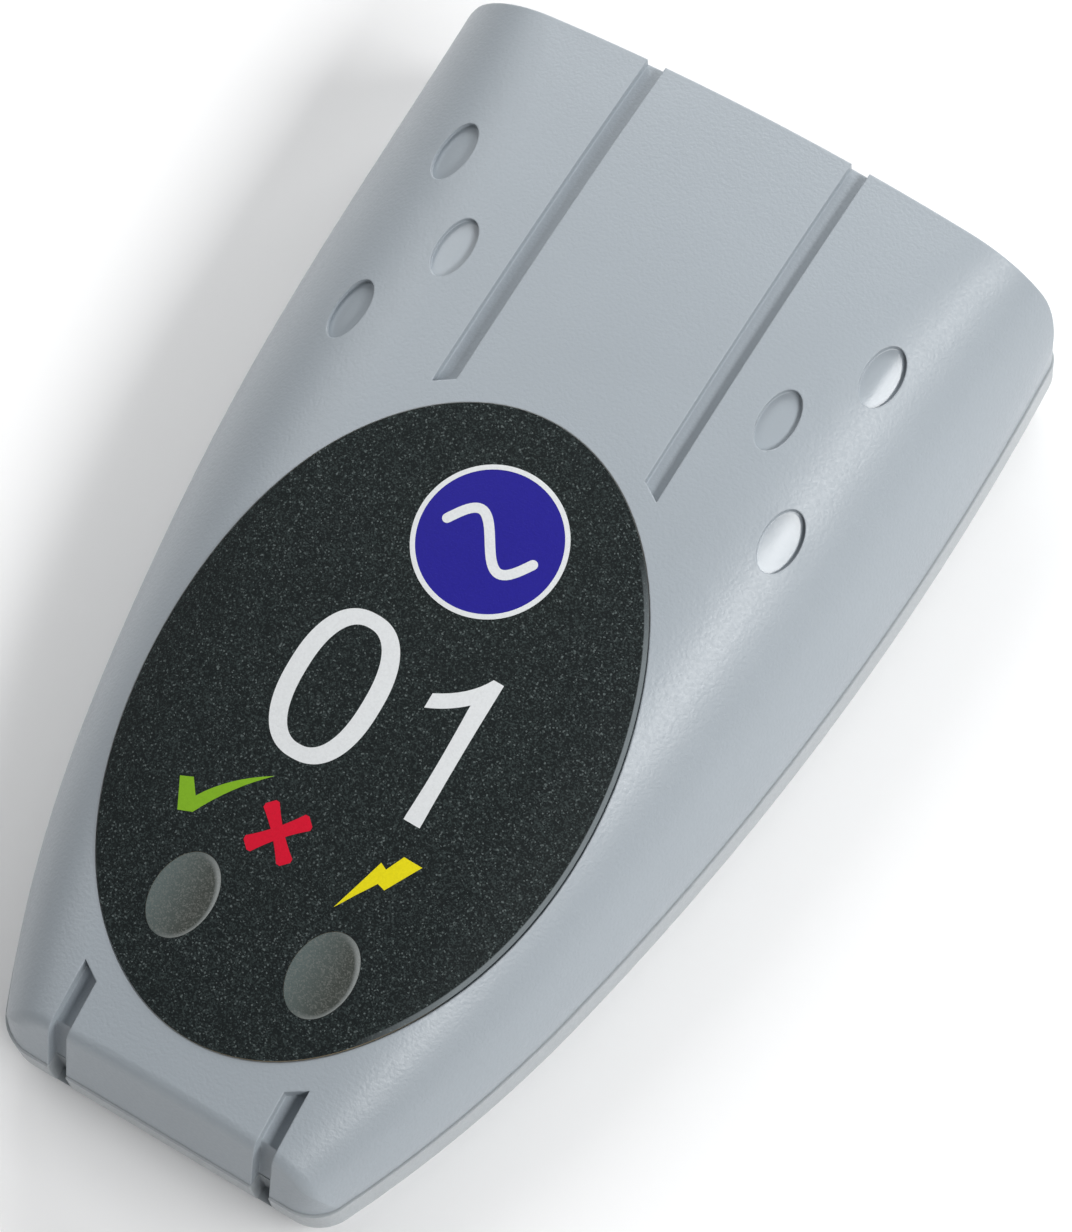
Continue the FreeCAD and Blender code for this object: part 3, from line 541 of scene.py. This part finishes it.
def print_shape(film, name, solids, holes, material, layer=1):
    """Thin printed patch on the film: the area inside any solid outline and outside every hole."""
    flat, faces = fill_plan(solids, holes)
    rise = INK_RISE * layer
    mesh = bpy.data.meshes.new(name)
    mesh.from_pydata([(p.x, p.y, height_on(film, p.x, p.y) + rise) for p in flat], [], faces)
    face_up(mesh)
    piece = link_piece(name, mesh, material)
    thickness = piece.modifiers.new("ink", "SOLIDIFY")
    thickness.thickness = rise
    thickness.offset = -1
    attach(piece, "unit")


def link_piece(name, mesh, material):
    """A mesh as an object of the scene."""
    piece = bpy.data.objects.new(name, mesh)
    bpy.context.scene.collection.objects.link(piece)
    mesh.materials.append(material)
    return piece


def print_digits(film, ink):
    """The unit's number, as plain digits."""
    middle, squareness = Vector((-4.25, -12.75)) * MM, 2.35
    outside = round_loop(middle, 4.6 * MM, 7.05 * MM, squareness)
    inside = round_loop(middle, 2.9 * MM, 5.72 * MM, squareness)
    print_shape(film, "digit_zero", [outside], [inside], ink)
    foot_left, foot_right, top_right, top_left = plan(
        (6.86, -19.6), (8.46, -19.6), (8.46, -5.72), (7.45, -5.72))
    flag_high, flag_low, notch = plan((3.5, -9.25), (3.5, -10.65), (6.86, -8.55))
    pull_top, pull_low = plan((6.3, -7.9), (5.4, -9.9))
    one = [foot_left, foot_right, top_right]
    one += bend(top_left, pull_top, flag_high) + [flag_high]
    one += bend(flag_low, pull_low, notch) + [notch]
    print_shape(film, "digit_one", [one], [], ink)


def print_symbols(film):
    """Tick, cross and bolt beside the lamp windows."""
    green = printed_ink("green_ink", (0.21, 0.42, 0.014, 1))
    red = printed_ink("red_ink", (0.64, 0.003, 0.026, 1))
    yellow = printed_ink("yellow_ink", (0.78, 0.68, 0.005, 1))
    print_shape(film, "tick_mark", [tick_loop()], [], green)
    print_shape(film, "cross_mark", cross_arms(), [], red)
    bolt = plan((5.45, -28.8), (7.1, -23.65), (7.75, -23.95), (8.55, -22.3),
                (10.35, -22.3), (8.5, -25.5), (7.75, -25.3))
    print_shape(film, "bolt_mark", [bolt[::-1]], [], yellow)


def tick_loop():
    """Outline of a tick whose long stroke tapers to a point."""
    heel, elbow, tip = plan((-10.75, -28.2), (-9.45, -27.75), (-4.7, -21.8))
    inner, top_right, top_left = plan((-9.95, -26.45), (-10.95, -25.15), (-12.1, -25.6))
    pull_low, pull_high = plan((-7.6, -24.4), (-8.2, -23.8))
    stroke = bend(elbow, pull_low, tip) + bend(tip, pull_high, inner)
    return [heel] + stroke + [inner, top_right, top_left]


def cross_arms():
    """Two crossing brush strokes that swell towards their ends."""
    centre = Vector((-1.95, -25.8)) * MM
    wide, waist, corner = 0.72, 0.32, 0.25
    strokes = []
    for turn, reach in ((44, 2.5), (-43, 2.7)):
        spin = Matrix.Rotation(math.radians(turn), 2)
        right_low, right_high = plan((wide, -reach), (wide, reach))
        left_high, left_low = plan((-wide, reach), (-wide, -reach))
        waist_right, waist_left = plan((waist, 0), (-waist, 0))
        outline = bend(right_low, waist_right, right_high) + [right_high]
        outline += plan((wide - corner, reach + corner), (corner - wide, reach + corner))
        outline += bend(left_high, waist_left, left_low) + [left_low]
        outline += plan((corner - wide, -reach - corner), (wide - corner, -reach - corner))
        strokes.append([centre + spin @ point for point in outline])
    return strokes


def print_badge(film, ink):
    """Blue disc with a white ring and a plain sine wave."""
    centre = Vector((0.86, 4.5)) * MM
    radius, ring = 6.9 * MM, 0.45 * MM
    reach, swing, half_line = 4.3 * MM, 2.1 * MM, 0.45 * MM
    blue = printed_ink("blue_ink", (0.015, 0.011, 0.265, 1))
    disc = round_loop(centre, radius - ring / 2, radius - ring / 2)
    ring_outside = round_loop(centre, radius, radius)
    ring_inside = round_loop(centre, radius - ring, radius - ring)
    print_shape(film, "badge_disc", [disc], [], blue)
    print_shape(film, "badge_ring", [ring_outside], [ring_inside], ink, layer=2)
    print_shape(film, "badge_wave", [wave_loop(centre, reach, swing, half_line)], [], ink, layer=2)


def wave_loop(centre, reach, swing, half_line, steps=40):
    """Outline of one full sine wave drawn with a round-ended line."""
    upper, lower = [], []
    for step in range(steps + 1):
        t = -1 + 2 * step / steps
        slope = -swing * math.pi / reach * math.cos(math.pi * t)
        normal = Vector((-slope, 1)).normalized() * half_line
        spot = centre + Vector((t * reach, -swing * math.sin(math.pi * t)))
        upper.append(spot + normal)
        lower.append(spot - normal)
    return lower + cap(lower[-1], upper[-1]) + upper[::-1] + cap(upper[0], lower[0])


def cap(start, end, steps=8):
    """Half circle from one side of a line's end round to the other."""
    middle, arm = (start + end) / 2, (start - end) / 2
    return [middle + Matrix.Rotation(math.pi * step / steps, 2) @ arm for step in range(1, steps)]


# ------------------------------------------------------------------ stage


def make_floor():
    """Plain pale floor just under the case."""
    mesh = bpy.data.meshes.new("floor")
    reach, level = 3.0, cad_low.z - 0.1 * MM
    corners = [(x * reach, y * reach, level) for x, y in ((-1, -1), (1, -1), (1, 1), (-1, 1))]
    mesh.from_pydata(corners, [], [(0, 1, 2, 3)])
    material, tree, output = new_material("pale_floor")
    surface(tree, output, Base_Color=grey(0.97), Roughness=0.85)
    floor = link_piece("floor", mesh, material)


def softbox(name, azimuth, elevation, distance, width, height, power):
    """Rectangular light aimed at the middle of the object; azimuth 0 is +X and 90 is +Y."""
    light = bpy.data.lights.new(name, "AREA")
    light.shape = "RECTANGLE"
    light.size, light.size_y = width, height
    light.energy = power
    turn, lift = math.radians(azimuth), math.radians(elevation)
    out = Vector((math.cos(turn) * math.cos(lift), math.sin(turn) * math.cos(lift), math.sin(lift)))
    centre = (cad_low + cad_high) / 2
    lamp = bpy.data.objects.new(name, light)
    lamp.location = centre + out * distance
    lamp.rotation_euler = (-out).to_track_quat("-Z", "Y").to_euler()
    bpy.context.scene.collection.objects.link(lamp)


def make_lights():
    """Soft studio light: a narrow box on the +X side, a wide one behind, one opposite, and a pale room."""
    softbox("side_box", 0, 43, 0.9, 0.9, 0.24, 7.0)
    softbox("back_box", 98, 30, 1.1, 1.2, 0.5, 9.8)
    softbox("left_box", 172, 44, 1.1, 1.0, 0.6, 3.2)
    world = bpy.data.worlds.new("pale_room")
    world.use_nodes = True
    background = world.node_tree.nodes["Background"]
    background.inputs["Color"].default_value = (0.93, 0.96, 1.0, 1)
    background.inputs["Strength"].default_value = 0.09
    bpy.context.scene.world = world


def make_camera():
    """Camera above the narrow end, turned so that the case stands at a slant in the frame."""
    pitch, tilt, roll = math.radians(-15), math.radians(-14.049), math.radians(-32.638)
    turn = Matrix.Rotation(roll, 3, "Z") @ Matrix.Rotation(pitch, 3, "X") @ Matrix.Rotation(tilt, 3, "Y")
    aim = Vector((6.99, 1.6, 20.5)) * MM
    distance = 0.4
    data = bpy.data.cameras.new("camera")
    data.lens = 136.75
    data.sensor_width = 36
    data.clip_start = 0.01
    camera = bpy.data.objects.new("camera", data)
    facing = turn.transposed()
    camera.matrix_world = Matrix.Translation(aim + facing @ Vector((0, 0, distance))) @ facing.to_4x4()
    bpy.context.scene.collection.objects.link(camera)
    bpy.context.scene.camera = camera


# ------------------------------------------------------------------ making

make_camera()
finish_nodes()
film = film_surface()
white_ink = printed_ink("white_ink", (0.73, 0.75, 0.76, 1))
print_digits(film, white_ink)
print_symbols(film)
print_badge(film, white_ink)
make_floor()
make_lights()
bpy.context.scene.view_settings.view_transform = "Standard"
